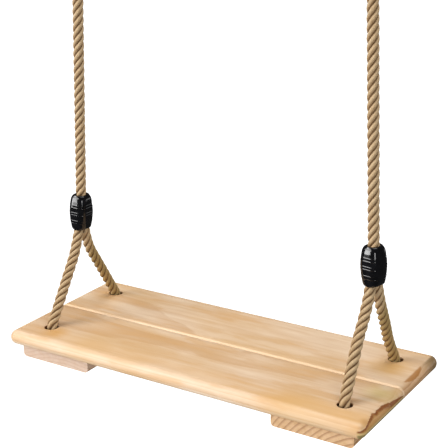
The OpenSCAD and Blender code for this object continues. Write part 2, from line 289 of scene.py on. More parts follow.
def carried_frames(centres):
    """Two directions across the rope at each step, carried along it without twist."""
    tangents = np.gradient(centres, axis=0)
    tangents /= np.linalg.norm(tangents, axis=1)[:, None]
    across = np.array([1.0, 0.0, 0.0])
    firsts = []
    for tangent in tangents:
        across = across - tangent * (across @ tangent)
        across = across / np.linalg.norm(across)
        firsts.append(across)
    firsts = np.array(firsts)
    return firsts, np.cross(tangents, firsts)


def strand_section():
    """A laid rope's section: angles, shares of its radius, groove depths and places on a strand."""
    half = math.pi / STRANDS
    spread = np.sin(np.linspace(-1, 1, LOBE_POINTS, endpoint=False) * math.pi / 2)
    lobe = spread * half
    angles = np.concatenate([lobe + 2 * half * k for k in range(STRANDS)])
    bend = np.tile(lobe, STRANDS)
    lobe_radius = 1 - LOBE_CENTRE
    radii = LOBE_CENTRE * np.cos(bend)
    radii = radii + np.sqrt(lobe_radius**2 - (LOBE_CENTRE * np.sin(bend)) ** 2)
    return angles, radii, (1 - radii) / (1 - radii.min()), bend / half


def tube_faces(count, rings):
    """Faces of a tube whose points come ring by ring, and then the middles of its two caps."""
    faces = [
        (i * count + k, i * count + (k + 1) % count,
         (i + 1) * count + (k + 1) % count, (i + 1) * count + k)
        for i in range(rings) for k in range(count)
    ]
    last, middle = rings * count, (rings + 1) * count
    faces += [((k + 1) % count, k, middle) for k in range(count)]
    faces += [(last + k, last + (k + 1) % count, middle + 1) for k in range(count)]
    return faces


def rope_piece(name, steps, rows, frames, first, last):
    """One length of laid rope, from step first to step last, with its texture's attributes."""
    angles, radii, groove, side = strand_section()
    points, lies, depths, painted_shading_sides = [], [], [], []
    for i in range(first, last + 1):
        centre, radius = rows[i][:3], rows[i][3]
        turned = angles + 2 * math.pi * steps[i] / LAY
        slack = np.array([
            1 + STRAND_SLACK * noise.noise((steps[i] * 60, 7.0 * k, 3.0)) for k in range(STRANDS)
        ])
        reach = radius * radii * np.repeat(slack, LOBE_POINTS)
        across, up = np.cos(turned) * reach, np.sin(turned) * reach
        points.append(centre + np.outer(across, frames[0][i]) + np.outer(up, frames[1][i]))
        lies.append(np.column_stack([across, up, np.full(len(angles), steps[i])]))
        depths.append(groove)
        ahead, back = rows[min(i + 1, len(rows) - 1)][:3], rows[max(i - 1, 0)][:3]
        fall = (back[2] - ahead[2]) / max(np.linalg.norm(ahead - back), 1e-9)
        # How far each point lies round to the lower side of its strand, where painted shade goes;
        # the upper side gets a painted highlight
        painted_shading_sides.append(-side * fall)
    # The middle of each end's cap
    for step in (first, last):
        points.append(rows[step][None, :3])
        lies.append(np.array([[0, 0, steps[step]]]))
        depths.append(np.array([1.0]))
        painted_shading_sides.append(np.array([0.0]))
    faces = tube_faces(len(angles), last - first)
    mesh = mesh_from(name, np.vstack(points), faces)
    sharpen(mesh, ROPE_SHARP)
    lie = mesh.attributes.new("rope_lie", "FLOAT_VECTOR", "POINT")
    lie.data.foreach_set("vector", np.vstack(lies).astype(np.float32).ravel())
    for label, values in (("rope_groove", depths), ("rope_painted_shading_side", painted_shading_sides)):
        layer = mesh.attributes.new(label, "FLOAT", "POINT")
        layer.data.foreach_set("value", np.concatenate(values).astype(np.float32))
    piece = new_object(name, mesh)
    return piece


def make_ropes():
    """Both ropes, each as four lengths, so that every length crosses one joint at most."""
    made = []
    for side, word in SIDES.items():
        steps, rows = smoothed(whole_rope(side))
        frames = carried_frames(rows[:, :3])
        top, half, foot = (
            int(np.argmin(np.abs(rows[:, 2] - z))) for z in (ROPE_TOP, ROPE_MIDDLE, ROPE_FOOT)
        )
        end = len(rows) - 1

        eye = rope_piece(f"{word}_eye_rope", steps, rows, frames, 0, top)
        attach(eye, "hangers")
        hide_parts(f"{word}_rope_eye")

        start = top + TOP_ROOM[side]
        upper = rope_piece(f"{word}_upper_rope", steps, rows, frames, start, half)
        if side == LEFT:
            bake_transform(upper)
        else:
            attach(upper, "right_rope")
        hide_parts(f"{word}_rope")

        lower = rope_piece(f"{word}_lower_rope", steps, rows, frames, half, foot)
        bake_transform(lower)
        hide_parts(f"{word}_rope_bend")

        bridle = rope_piece(f"{word}_bridle", steps, rows, frames, foot, end)
        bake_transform(bridle)
        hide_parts(f"{word}_bridle_rope")
        made += [eye, upper, lower, bridle]
    return made


# ---- Planks ----

# A plank's corners, sanded a little rounder than the CAD model's
CORNER_RADIUS = 0.0085
SMALLEST_CORNER = 0.0003
HOLE_RIM = 0.0009
OUTLINE_STEP = 0.006
SEAM_POINTS = 92
HOLE_POINTS = 48
# The grid of points that lets a plank's faces wave, and the height of the wave
GRID_X = np.linspace(-0.215, 0.215, 44)
GRID_V = np.linspace(0.009, 0.085, 9)
GRID_CLEARANCE = 0.003
WAVE = 0.00012


def bullnose(distance, radius):
    """How far below its full height a rounded edge is, this far in from it."""
    left = max(radius - distance, 0)
    return radius - math.sqrt(max(radius**2 - left**2, 0))


def edge_distance(x, v):
    """Distance from a plank's rounded ends and outer edge; v is the distance from the seam."""
    from_end = HALF_LENGTH - abs(x)
    from_edge = PLANK_WIDTH - v
    if from_end < CORNER_RADIUS and from_edge < CORNER_RADIUS:
        return CORNER_RADIUS - math.hypot(CORNER_RADIUS - from_end, CORNER_RADIUS - from_edge)
    return min(from_end, from_edge)


def plank_half_height(x, v):
    """Half the plank's thickness here, with its round ends, outer edge and eased seam edge."""
    half = PLANK_THICKNESS / 2
    low = half - bullnose(edge_distance(x, v), half)
    return max(min(low, half - bullnose(v, SEAM_RADIUS)), 0)


def outline_inside(offset):
    """A line round a plank's two ends and outer edge, this far in from them, from seam to seam."""
    x_end, v_edge = HALF_LENGTH - offset, PLANK_WIDTH - offset
    radius = max(CORNER_RADIUS - offset, 0)
    corner = [(x_end, v_edge)]
    if radius > SMALLEST_CORNER:
        quarter = [math.radians(a) for a in range(0, 91, 10)]
        corner = [
            (x_end - radius + radius * math.cos(a), v_edge - radius + radius * math.sin(a))
            for a in quarter
        ]
    count = max(round(corner[0][1] / OUTLINE_STEP), 2)
    up = np.linspace(0, corner[0][1], count, endpoint=False)
    right = [(x_end, v) for v in up] + corner
    count = max(round(2 * corner[-1][0] / OUTLINE_STEP), 2)
    top = [(x, v_edge) for x in np.linspace(corner[-1][0], -corner[-1][0], count)[1:-1]]
    return right + top + [(-x, v) for x, v in right[::-1]]


def hole_distance(x, v, hole_v):
    """Distance outside the nearer of a plank's two rope holes."""
    return min(math.hypot(x - s, v - hole_v) for s in (-HOLE_X, HOLE_X)) - HOLE_RADIUS


def plank_points(hole_v):
    """A plank's plan as points and edges: contours of its roundings, holes and a grid."""
    points, edges = [], []

    def add_line(line, closed=False):
        start = len(points)
        points.extend(Vector(p) for p in line)
        edges.extend((start + i, start + i + 1) for i in range(len(line) - 1))
        if closed:
            edges.append((len(points) - 1, start))

    for k in range(10):
        add_line(outline_inside(PLANK_THICKNESS / 2 * (1 - math.cos(math.radians(10 * k)))))
    for k in range(5):
        v = SEAM_RADIUS * (1 - math.cos(math.radians(22.5 * k)))
        add_line([(x, v) for x in np.linspace(-HALF_LENGTH, HALF_LENGTH, SEAM_POINTS)])
    turn = np.linspace(0, 2 * math.pi, HOLE_POINTS, endpoint=False)
    for x in (-HOLE_X, HOLE_X):
        for k in range(5):
            r = HOLE_RADIUS + HOLE_RIM * (1 - math.cos(math.radians(22.5 * k)))
            add_line([(x + r * math.cos(a), hole_v + r * math.sin(a)) for a in turn], True)
    for x in GRID_X:
        for v in GRID_V:
            if hole_distance(x, v, hole_v) > GRID_CLEARANCE:
                points.append(Vector((x, v)))
    return points, edges


def plank_mesh(name, towards):
    """A plank with round ends and outer edge, an eased seam edge and two eased rope holes."""
    seam_y = rear_low.y if towards > 0 else front_high.y
    hole_v = HOLE_Y - towards * seam_y
    points, edges = plank_points(hole_v)
    flat, _, triangles, *_ = geometry.delaunay_2d_cdt(points, edges, [], 0, 1e-7)

    def shown(triangle):
        x = sum(flat[i][0] for i in triangle) / 3
        v = sum(flat[i][1] for i in triangle) / 3
        return edge_distance(x, v) > 0 and v > 0 and hole_distance(x, v, hole_v) > 0

    work = bmesh.new()
    middle_z = SEAT_TOP - PLANK_THICKNESS / 2
    sheets = []
    for face in (1, -1):
        made = []
        for x, v in flat:
            high = plank_half_height(x, v)
            high -= bullnose(max(hole_distance(x, v, hole_v), 0), HOLE_RIM)
            made.append(work.verts.new((x, seam_y + towards * v, middle_z + face * high)))
        sheets.append(made)
        for triangle in triangles:
            if shown(triangle):
                order = triangle if (face > 0) == (towards > 0) else triangle[::-1]
                work.faces.new([made[i] for i in order])
    # Walls join the two sheets along the seam and round the holes
    work.verts.index_update()
    rims = [e for e in work.edges if e.is_boundary and e.verts[0].index < len(flat)]
    for e in rims:
        a, b = (v.index for v in e.verts)
        if e.link_loops[0].vert.index == a:
            a, b = b, a
        work.faces.new([sheets[0][a], sheets[0][b], sheets[1][b], sheets[1][a]])
    bmesh.ops.remove_doubles(work, verts=work.verts, dist=2e-6)
    bmesh.ops.delete(work, geom=[v for v in work.verts if not v.link_faces], context="VERTS")
    for vert in work.verts:
        x, y, z = vert.co
        vert.co.z += WAVE * noise.noise((x * 14, y * 30 + 5 * towards, z * 60))
    bmesh.ops.recalc_face_normals(work, faces=work.faces)
    return mesh_of(work, name, PLANK_SHARP)


def make_planks():
    """The front plank, then the rear one."""
    made = []
    for name, towards in (("front_seat_plank", -1), ("rear_seat_plank", 1)):
        plank = new_object(name, plank_mesh(name, towards))
        place(plank, "seat", "plank_pine", name.replace("_seat", ""))
        made.append(plank)
    return made


# ---- Clamps ----

# The barrel's outline, as (share of half height, share of half width), from the bottom up
BARREL = [
    (-1.00, 0.60), (-0.975, 0.69), (-0.94, 0.765), (-0.88, 0.83), (-0.78, 0.88), (-0.60, 0.935),
    (-0.40, 0.97), (-0.15, 0.995), (0.08, 1.00), (0.30, 0.985), (0.48, 0.96), (0.66, 0.925),
    (0.80, 0.885), (0.89, 0.83), (0.95, 0.76), (0.985, 0.68), (1.00, 0.61),
]
# The least width it keeps, front to back, round two ropes at the bottom and one at the top
FOOT_SHARE = 0.91
HEAD_SHARE = 0.79
# The raised ribs, as (height, how far it stands out), and the outline of one from its top down
RIBS = [
    (0.0098, 0.00012), (0.0066, 0.00012), (0.0008, 0.00015), (-0.0022, 0.00012),
    (-0.0092, 0.00014), (-0.0126, 0.00011),
]
RIB_OUTLINE = [
    (0.0006, 0.0), (0.00035, 0.02), (0.0001, 1.0), (-0.0001, 1.0), (-0.0003, 0.02), (-0.0005, 0.0),
]
# The inside: a round bore at the top, and from just below the middle a slot for two ropes
MOUTH_RADIUS = 0.0066
SLOT_RADIUS = 0.0053
SLOT_REACH = 0.00495
SLOT_END = -0.003
SLOT_FADE = 0.005
INNER_HEIGHTS = [0.012, 0.004, 0.001, -0.001, -0.003, -0.012]
LIP = 0.0005
PARTING_GAP = 0.00005
# The least wall inside and at the mouths, and how near the skin's points may lie
LEAST_WALL = 0.0006
LEAST_EDGE = 0.0001
RIB_CLEARANCE = 0.0012
LEAST_STEP = 0.00006
# The rear shell's screw recesses: places, depth of their middles, radius and length
RECESS_X = (-0.0086, 0.0086)
RECESS_Z = (-0.010, 0.010)
RECESS_Y = 0.0084
RECESS_RADIUS = 0.0025
RECESS_LENGTH = 0.0060


def barrel_reach(z, least=0.0):
    """Half the clamp's width at a height, with its ribs."""
    shares = np.array(BARREL)
    share = max(np.interp(z / CLAMP_HALF_HEIGHT, shares[:, 0], shares[:, 1]), least)
    reach = CLAMP_HALF_WIDTH * share
    offsets, levels = np.array(RIB_OUTLINE)[::-1].T
    for rib_z, stand in RIBS:
        reach += stand * np.interp(z - rib_z, offsets, levels, left=0, right=0)
    return reach


def square_angles():
    """Angles round half a rounded square, close together at its corners."""
    flat = CLAMP_HALF_WIDTH - CLAMP_CORNER
    arc = [
        math.atan2(flat + CLAMP_CORNER * math.sin(b), flat + CLAMP_CORNER * math.cos(b))
        for b in np.linspace(0, math.pi / 2, 12)
    ]
    side = [0.0, arc[0] / 2] + arc + [math.pi / 2 - arc[0] / 2]
    return [a + math.pi / 2 * k for k in range(2) for a in side] + [math.pi]


def outer_wall(angle, z):
    """Distance from the clamp's middle to its rounded rectangular skin."""
    half_x, half_y = barrel_reach(z), barrel_reach(z, FOOT_SHARE if z < 0 else HEAD_SHARE)
    corner = min(CLAMP_CORNER, half_x - 0.0002)
    flat_x, flat_y = half_x - corner, half_y - corner
    c, s = abs(math.cos(angle)), abs(math.sin(angle))
    if half_x * s <= flat_y * c:
        return half_x / c
    if half_y * c <= flat_x * s:
        return half_y / s
    along = flat_x * c + flat_y * s
    return along + math.sqrt(max(along**2 - flat_x**2 - flat_y**2 + corner**2, 0))


def inner_wall(angle, z):
    """Distance to the inside: round for one rope above, and two ropes wide below."""
    share = min(max((z - SLOT_END) / SLOT_FADE, 0), 1)
    reach = SLOT_REACH * (1 - share)
    radius = SLOT_RADIUS + (MOUTH_RADIUS - SLOT_RADIUS) * share
    c, s = abs(math.cos(angle)), abs(math.sin(angle))
    if radius * s <= reach * c:
        wall = radius / c
    else:
        wall = reach * s + math.sqrt(max(radius**2 - (reach * c) ** 2, 0))
    return min(wall, outer_wall(angle, z) - LEAST_WALL)


def mouth_edge(angle, z):
    """Distance to where the clamp's flat end begins, outside its mouth's lip."""
    return min(inner_wall(angle, z) + LIP, outer_wall(angle, z) - LEAST_EDGE)


def skin_heights():
    """Heights of the outer skin's points, close together at the ribs."""
    heights = [CLAMP_HALF_HEIGHT * h for h in np.linspace(-1, 1, 41)]
    heights += [CLAMP_HALF_HEIGHT * h for h, _ in BARREL]
    heights = [z for z in heights if all(abs(z - rib_z) > RIB_CLEARANCE for rib_z, _ in RIBS)]
    heights += [rib_z + offset for rib_z, _ in RIBS for offset, _ in RIB_OUTLINE]
    heights = sorted(heights)
    return [z for i, z in enumerate(heights) if i == 0 or z - heights[i - 1] > LEAST_STEP]


def clamp_shell_mesh(name, towards):
    """Half a clamp about its own middle: outer skin, mouths, inner wall and parting face."""
    heights = skin_heights()
    top, bottom = CLAMP_HALF_HEIGHT, -CLAMP_HALF_HEIGHT
    inner = [top - LIP, *INNER_HEIGHTS, bottom + LIP]
    columns = []
    for angle in square_angles():
        c, s = math.cos(angle * towards), math.sin(angle * towards)
        column = [(outer_wall(angle, z), z) for z in heights]
        column += [(mouth_edge(angle, top), top)]
        column += [(inner_wall(angle, z), z) for z in inner]
        column += [(mouth_edge(angle, bottom), bottom)]
        columns.append([(r * c, r * s + PARTING_GAP * towards, z) for r, z in column])
    rows = len(columns[0])
    work = bmesh.new()
    verts = [[work.verts.new(p) for p in column] for column in columns]
    for near, far in zip(verts, verts[1:]):
        for k in range(rows):
            m = (k + 1) % rows
            face = (near[k], far[k], far[m], near[m])
            work.faces.new(face if towards > 0 else face[::-1])
    for loop in (verts[0], verts[-1]):
        edges = [work.edges.get((loop[k], loop[(k + 1) % rows])) for k in range(rows)]
        bmesh.ops.triangle_fill(work, use_beauty=True, edges=edges)
    bmesh.ops.recalc_face_normals(work, faces=work.faces)
    return mesh_of(work, name, CLAMP_SHARP)


def screw_recesses():
    """Four plugs that cut the rear shell's screw recesses."""
    work = bmesh.new()
    for x in RECESS_X:
        for z in RECESS_Z:
            turned = Matrix.Translation((x, RECESS_Y, z)) @ Matrix.Rotation(math.pi / 2, 4, "X")
            bmesh.ops.create_cone(
                work, cap_ends=True, segments=32, radius1=RECESS_RADIUS, radius2=RECESS_RADIUS,
                depth=RECESS_LENGTH, matrix=turned,
            )
    return new_object("recesses", mesh_of(work, "recesses"))


def cut_away(piece, cutter):
    """Cuts one object out of another and keeps the result as the piece's mesh."""
    cut = piece.modifiers.new("cut", "BOOLEAN")
    cut.operation = "DIFFERENCE"
    cut.solver = "EXACT"
    cut.object = cutter
    depsgraph = bpy.context.evaluated_depsgraph_get()
    piece.data = bpy.data.meshes.new_from_object(piece.evaluated_get(depsgraph))
    piece.modifiers.clear()
    bpy.data.objects.remove(cutter)
    sharpen(piece.data, CLAMP_SHARP)


def make_clamps():
    """A lower and an upper clamp a side; the upper ones are upside down."""
    made = []
    for side, word in SIDES.items():
        lower_z = SEAT_TOP + CLAMP_TOP - CLAMP_DROP[side] - CLAMP_HALF_HEIGHT
        for level, centre_z, body in (("", lower_z, "seat"), ("upper_", UPPER_CLAMP_Z, "hangers")):
            turn = CLAMP_TURN[side] if level == "" else 0.0
            stand = Matrix.Translation((side * lean_x(centre_z), 0, centre_z))
            stand = stand @ Matrix.Rotation(-side * math.atan(LEAN), 4, "Y")
            stand = stand @ Matrix.Rotation(-turn, 4, "Z")
            if level == "upper_":
                stand = stand @ Matrix.Scale(-1, 4, (0, 0, 1))
            for half, towards in (("front", -1), ("rear", 1)):
                name = f"{word}_{level}clamp_{half}"
                shell = new_object(name, clamp_shell_mesh(name, towards))
                if half == "rear":
                    cut_away(shell, screw_recesses())
                shell.data.transform(stand)
                if level == "upper_":
                    shell.data.flip_normals()
                place(shell, body, "clamp_plastic", f"{name}_shell")
                made.append(shell)
    return made


# ---- Rings ----

POINTS_ROUND_RING = 96
POINTS_ROUND_BAR = 24
# The weld bead: how far it spreads, how high it stands on the mean and at most
WELD_WIDTH = 0.0016
WELD_HEIGHT = 0.00022
WELD_LIMIT = 0.0003


def ring_mesh(name, side):
    """A round-bar ring with a low weld bead at its side."""
    centre = Vector((side * lean_x(BAR_Z), 0, BAR_Z + RING_RADIUS))
    weld_at = math.radians(10 if side == RIGHT else 170)
    points, faces = [], []
    for i in range(POINTS_ROUND_RING):
        a = 2 * math.pi * i / POINTS_ROUND_RING
        near = (a - weld_at) * RING_RADIUS / WELD_WIDTH
        for k in range(POINTS_ROUND_BAR):
            b = 2 * math.pi * k / POINTS_ROUND_BAR
            lump = 1 + 0.4 * noise.noise((3 * math.cos(b), 3 * math.sin(b), 9.0 * a))
            bar = RING_BAR + WELD_HEIGHT * lump * math.exp(-near**2)
            bar = min(bar, RING_BAR + WELD_LIMIT)
            reach = RING_RADIUS + bar * math.cos(b)
            offset = Vector((reach * math.cos(a), bar * math.sin(b), reach * math.sin(a)))
            points.append(centre + offset)
            here, ahead = i * POINTS_ROUND_BAR, (i + 1) % POINTS_ROUND_RING * POINTS_ROUND_BAR
            m = (k + 1) % POINTS_ROUND_BAR
            faces.append((here + k, here + m, ahead + m, ahead + k))
    return mesh_from(name, points, faces)


def make_rings():
    """A ring a side, to hang the swing from."""
    made = []
    for side, word in SIDES.items():
        name = f"{word}_hanging_ring"
        ring = new_object(name, ring_mesh(name, side))
        place(ring, "rings", "ring_steel", f"{word}_ring")
        made.append(ring)
    return made


# ---- Materials ----

class Paint:
    """A material's nodes, made with short calls. A value is a socket or a constant."""

    def __init__(self, name):
        self.material = bpy.data.materials.new(name)
        self.material.use_nodes = True
        self.tree = self.material.node_tree
        self.tree.nodes.clear()

    def node(self, kind, inputs=None, **settings):
        """A shader node with its inputs, linked or fixed, and its settings."""
        made = self.tree.nodes.new("ShaderNode" + kind)
        for key, value in settings.items():
            setattr(made, key, value)
        for key, value in (inputs or {}).items():
            if isinstance(value, bpy.types.NodeSocket):
                self.tree.links.new(value, made.inputs[key])
            else:
                made.inputs[key].default_value = value
        return made

    def math(self, operation, *values):
        """One step of arithmetic."""
        return self.node("Math", dict(enumerate(values)), operation=operation).outputs[0]

    def times(self, a, b):
        return self.math("MULTIPLY", a, b)

    def length(self, a, b):
        """The length of a flat vector."""
        squares = self.math("ADD", self.times(a, a), self.times(b, b))
        return self.math("SQRT", squares)

    def blend(self, factor, a, b):
        """Colour a where the factor is 0 and colour b where it is 1."""
        return self.node("Mix", {0: factor, 6: a, 7: b}, data_type="RGBA").outputs[2]

    def ramp(self, value, low, high, to_low=0.0, to_high=1.0):
        """A soft step from to_low to to_high, as the value goes from low to high."""
        inputs = {"Value": value, 1: low, 2: high, 3: to_low, 4: to_high}
        return self.node("MapRange", inputs, interpolation_type="SMOOTHSTEP").outputs[0]

    def noise(self, vector, scale, detail=2.0, roughness=0.5):
        """Noise at one scale, or stretched by a scale for each axis."""
        if isinstance(scale, tuple):
            inputs = {0: vector, 1: scale}
            vector = self.node("VectorMath", inputs, operation="MULTIPLY").outputs[0]
            scale = 1.0
        inputs = {"Vector": vector, "Scale": scale, "Detail": detail, "Roughness": roughness}
        return self.node("TexNoise", inputs).outputs[0]

    def place(self):
        """Where a point of the surface lies at rest, in metres."""
        return self.node("TexCoord").outputs["Object"]

    def facing(self):
        """The way the surface faces at rest."""
        return self.node("TexCoord").outputs["Normal"]

    def parts(self, vector):
        return self.node("SeparateXYZ", {0: vector}).outputs

    def bump(self, height, strength, distance):
        inputs = {"Height": height, "Strength": strength, "Distance": distance}
        return self.node("Bump", inputs).outputs[0]

    def finish(self, colour, roughness, normal=None, **fixed):
        """The material, with the shader's fixed sockets set by name."""
        inputs = {"Base Color": colour, "Roughness": roughness}
        if normal is not None:
            inputs["Normal"] = normal
        shader = self.node("BsdfPrincipled", inputs)
        for key, value in fixed.items():
            shader.inputs[key.replace("_", " ")].default_value = value
        out = self.node("OutputMaterial")
        self.tree.links.new(shader.outputs[0], out.inputs[0])
        return self.material


def tone(red, green, blue):
    """A colour given as it shows on a screen, from 0 to 255, as the shader wants it."""
    def linear(value):
        share = value / 255
        return share / 12.92 if share <= 0.04045 else ((share + 0.055) / 1.055) ** 2.4
    return (linear(red), linear(green), linear(blue), 1.0)


# Soft stains on the planks: x, y, reach, strength and colour
STAINS = [
    (-0.177, -0.074, 0.024, 0.95, tone(208, 154, 80)),
    (0.194, 0.042, 0.034, 1.00, tone(212, 160, 74)),
    (-0.196, 0.045, 0.026, 0.45, tone(216, 166, 94)),
    (-0.120, -0.080, 0.045, 0.45, tone(208, 162, 96)),
    (0.212, -0.022, 0.028, 0.60, tone(206, 184, 116)),
    (0.212, -0.006, 0.014, 0.55, tone(226, 206, 180)),
    (0.150, -0.084, 0.050, 0.45, tone(212, 168, 100)),
    (0.2235, -0.084, 0.008, 0.80, tone(170, 118, 72)),
]


def plank_pine(name, seed, towards):
    """Flat-sawn pine with its grain along X; its growth rings lie in wavy layers below the top."""
    paint = Paint(name)
    place = paint.place()
    x, y, z = paint.parts(place)
    depth = paint.math("SUBTRACT", SEAT_TOP, z)
    facing_x = paint.parts(paint.facing())[0]
    shifted = paint.node("VectorMath", {0: place, 1: (seed, 0, 0)}, operation="ADD").outputs[0]
    sway = paint.noise(shifted, (1.6, 9, 4))
    ripple = paint.noise(shifted, (4, 60, 12))
    layer = paint.math("MULTIPLY_ADD", sway, 0.022, depth)
    layer = paint.math("MULTIPLY_ADD", ripple, 0.0022, layer)
    ring = paint.math("FRACT", paint.math("DIVIDE", layer, 0.0058))
    late = paint.times(paint.ramp(ring, 0.55, 0.97), paint.ramp(ring, 1.0, 0.97))
    streak = paint.noise(shifted, (5, 150, 150), 3.0, 0.6)
    pore = paint.noise(shifted, (45, 2200, 2200), 2.0, 0.6)
    cloud = paint.noise(shifted, (7, 14, 14))
    flame = paint.noise(shifted, (12, 46, 46), 3.0, 0.55)
    end = paint.ramp(paint.math("ABSOLUTE", facing_x), 0.3, 0.85)
    if towards < 0:
        end = paint.times(end, paint.ramp(facing_x, 0.3, -0.3))

    colour = paint.blend(paint.ramp(streak, 0.3, 0.7), tone(216, 183, 147), tone(229, 202, 172))
    colour = paint.blend(paint.ramp(cloud, 0.35, 0.7, 0, 0.75), colour, tone(212, 172, 122))
    colour = paint.blend(paint.times(late, 0.40), colour, tone(192, 144, 92))
    colour = paint.blend(paint.ramp(flame, 0.50, 0.66, 0, 0.50), colour, tone(208, 160, 102))
    colour = paint.blend(paint.ramp(flame, 0.48, 0.34, 0, 0.38), colour, tone(234, 209, 180))
    browner = paint.blend(paint.times(late, 0.6), tone(204, 158, 108), tone(150, 96, 48))
    colour = paint.blend(paint.times(end, 0.8), colour, browner)
    colour = paint.blend(paint.ramp(pore, 0.55, 0.8, 0, 0.16), colour, tone(176, 130, 82))
    colour = stained(paint, colour, place, cloud, towards)
    colour = front_edge(paint, colour, towards, x, y, cloud)
    colour = end_marks(paint, colour, towards, y, depth, facing_x)
    colour = hole_shade(paint, colour, x, y, depth)
    rough = paint.ramp(pore, 0.3, 0.8, 0.40, 0.56)
    height = paint.math("MULTIPLY_ADD", pore, 0.5, paint.times(late, 0.6))
    normal = paint.bump(height, 0.22, 0.0003)
    return paint.finish(colour, rough, normal, Coat_Weight=0.12, Coat_Roughness=0.3)


def stained(paint, colour, place, cloud, towards):
    """The soft stains of the front plank or of the rear one."""
    for spot_x, spot_y, reach, strength, stain in STAINS:
        if spot_y * towards > 0:
            spot = paint.node("CombineXYZ", {0: spot_x, 1: spot_y, 2: SEAT_TOP}).outputs[0]
            inputs = {0: place, 1: spot}
            gap = paint.node("VectorMath", inputs, operation="DISTANCE").outputs["Value"]
            uneven = paint.ramp(cloud, 0.2, 0.6, 0.5, 1.0)
            near = paint.times(paint.ramp(gap, reach, 0.0, 0.0, strength), uneven)
            colour = paint.blend(near, colour, stain)
    return colour


def front_edge(paint, colour, towards, x, y, cloud):
    """A painted highlight line on the rear plank's front edge, yellower wood on the front one's."""
    if towards > 0:
        # Painted highlight along the rear plank's eased front edge
        return paint.blend(paint.ramp(y, 0.0042, 0.0012, 0, 0.55), colour, tone(250, 222, 184))
    back, fore = paint.ramp(y, -0.058, -0.080), paint.ramp(y, -0.0935, -0.0885)
    strip = paint.times(back, fore)
    strip = paint.times(strip, paint.ramp(cloud, 0.25, 0.6, 0.3, 0.6))
    strip = paint.times(strip, paint.ramp(x, -0.05, 0.17, 0.55, 1.0))
    return paint.blend(strip, colour, tone(222, 172, 106))


def end_marks(paint, colour, towards, y, depth, facing_x):
    """The bold growth ring that the right end cuts through on each plank, with painted light and
    shade on those ends.
    """
    on_end = paint.ramp(facing_x, 0.10, 0.40)
    step = paint.noise(paint.node("CombineXYZ", {1: y}).outputs[0], 110.0, 2.0, 0.8)
    wobble = paint.times(paint.math("SUBTRACT", step, 0.5), 0.0036)
    if towards < 0:
        # An arch: it touches the top past the middle and sinks towards the seam and the corner
        rear = paint.math("MAXIMUM", paint.math("ADD", y, 0.044), 0.0)
        fore = paint.math("MAXIMUM", paint.math("SUBTRACT", -0.070, y), 0.0)
        line = paint.math("MULTIPLY_ADD", rear, 0.14, 0.0007)
        line = paint.math("MULTIPLY_ADD", fore, 0.10, line)
        line = paint.math("MULTIPLY_ADD", paint.times(fore, fore), 3.2, line)
        below = paint.math("SUBTRACT", depth, paint.math("ADD", line, wobble))
        thick = paint.ramp(y, -0.058, -0.024, 0.0034, 0.0078)
        fade = paint.ramp(paint.math("DIVIDE", below, thick), 1.0, 0.3)
        band = paint.times(paint.ramp(below, 0.0, 0.0004), fade)
        band = paint.times(band, paint.ramp(step, 0.25, 0.6, 0.6, 0.95))
        under = paint.times(paint.ramp(below, 0.0, 0.0008), on_end)
        colour = paint.blend(paint.times(under, 0.85), colour, tone(188, 136, 66))
        colour = paint.blend(paint.times(band, on_end), colour, tone(130, 68, 16))
        # Painted light on the lower part of the round end
        lip = paint.times(paint.ramp(depth, 0.0074, 0.0088, 0, 0.55), on_end)
        colour = paint.blend(lip, colour, tone(222, 200, 140))
        # Painted shade: a dark line along the end's bottom, where the batten's side lies in shadow
        foot = paint.times(paint.ramp(depth, 0.0098, 0.0112, 0, 0.85), on_end)
        return paint.blend(foot, colour, tone(128, 112, 66))
    # A long lens high on the round end
    along = paint.math("DIVIDE", paint.math("SUBTRACT", y, 0.0375), 0.0245)
    low = paint.math("MULTIPLY_ADD", paint.times(along, along), -0.0038, 0.0040)
    low = paint.math("ADD", low, paint.times(wobble, 0.35))
    above = paint.ramp(depth, 0.0, 0.0006)
    lens = paint.times(above, paint.ramp(paint.math("SUBTRACT", low, depth), 0.0, 0.0010))
    lens = paint.times(lens, paint.ramp(facing_x, 0.04, 0.16))
    colour = paint.blend(paint.times(lens, 0.85), colour, tone(172, 114, 50))
    # Painted shade towards the far corner of the round end
    corner = paint.times(paint.ramp(y, 0.050, 0.088, 0, 0.85), on_end)
    return paint.blend(corner, colour, tone(122, 98, 60))


def hole_shade(paint, colour, x, y, depth):
    """Painted shade deep in the rope holes, over a raw drilled wall that is darker than the face.
    """
    dx = paint.math("SUBTRACT", paint.math("ABSOLUTE", x), HOLE_X)
    dy = paint.math("SUBTRACT", paint.math("ABSOLUTE", y), HOLE_Y)
    out = paint.length(dx, dy)
    near = paint.ramp(out, HOLE_RADIUS + 0.0006, HOLE_RADIUS + 0.0001)
    inside = paint.times(near, paint.ramp(depth, 0.0004, 0.0030, 0, 0.9))
    # Painted shade, darker with depth into the hole
    return paint.blend(inside, colour, tone(104, 62, 28))


def batten_pine(name, pith_x, pith_z, pitch, tones, strength):
    """Pine with its grain along Y, so that its growth rings show as stripes on its front face."""
    paint = Paint(name)
    place = paint.place()
    warped = paint.noise(place, (14, 3, 14))
    x, _, z = paint.parts(place)
    dx = paint.math("SUBTRACT", x, pith_x)
    dz = paint.math("SUBTRACT", z, pith_z)
    out = paint.length(dx, dz)
    out = paint.math("MULTIPLY_ADD", warped, 0.009, out)
    ring = paint.math("FRACT", paint.math("DIVIDE", out, pitch))
    late = paint.times(paint.ramp(ring, 0.45, 0.9), paint.ramp(ring, 1.0, 0.94))
    streak = paint.noise(place, (170, 5, 170), 3.0, 0.6)
    pore = paint.noise(place, (2000, 60, 2000), 2.0, 0.6)
    pale, mid, dark = tones
    colour = paint.blend(paint.ramp(streak, 0.3, 0.7), mid, pale)
    colour = paint.blend(paint.times(late, strength), colour, dark)
    colour = paint.blend(paint.ramp(pore, 0.55, 0.8, 0, 0.2), colour, dark)
    height = paint.math("MULTIPLY_ADD", pore, 0.5, paint.times(late, 0.8))
    normal = paint.bump(height, 0.3, 0.0003)
    return paint.finish(colour, paint.ramp(pore, 0.3, 0.8, 0.55, 0.72), normal)


